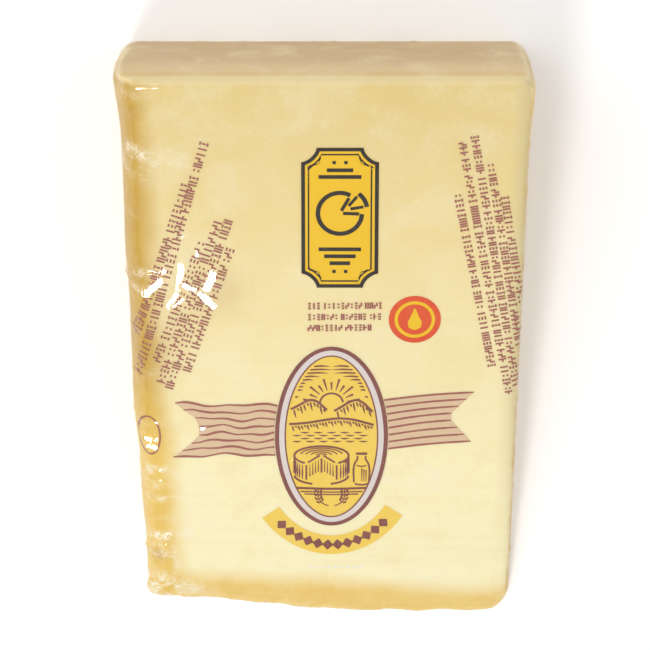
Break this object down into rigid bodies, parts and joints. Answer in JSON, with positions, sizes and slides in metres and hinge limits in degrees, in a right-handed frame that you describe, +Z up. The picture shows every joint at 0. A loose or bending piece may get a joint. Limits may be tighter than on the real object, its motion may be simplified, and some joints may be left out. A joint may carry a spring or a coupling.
{
  "type": "vacuum-packed wedge of hard cheese",
  "caption": "Wedge of hard grating cheese with its rind, cut from a large wheel and shrink-wrapped in clear printed film, lying on one of its broad cut faces.",
  "frame": {"origin": "centre of the footprint of the box round the pack, on the surface it lies on", "axes": "+Z up from the lower cut face, +Y from the thin tip to the rind at the heel, +X towards the rind of the wheel's flat end"},
  "size_m": [0.1224, 0.1764, 0.069],
  "materials": {
    "cheese": "pale cream hard cheese, smooth where it is cut, with a tan rind",
    "film": "thin clear shrink film that clings to the cheese, glossy, with small wrinkles",
    "print": "printed inks under the film: purple-brown, yellow, black, red-orange and pale grey"
  },
  "bodies": {
    "root": {"wrapped_cheese_wedge": "cheese"}
  },
  "joints": []
}
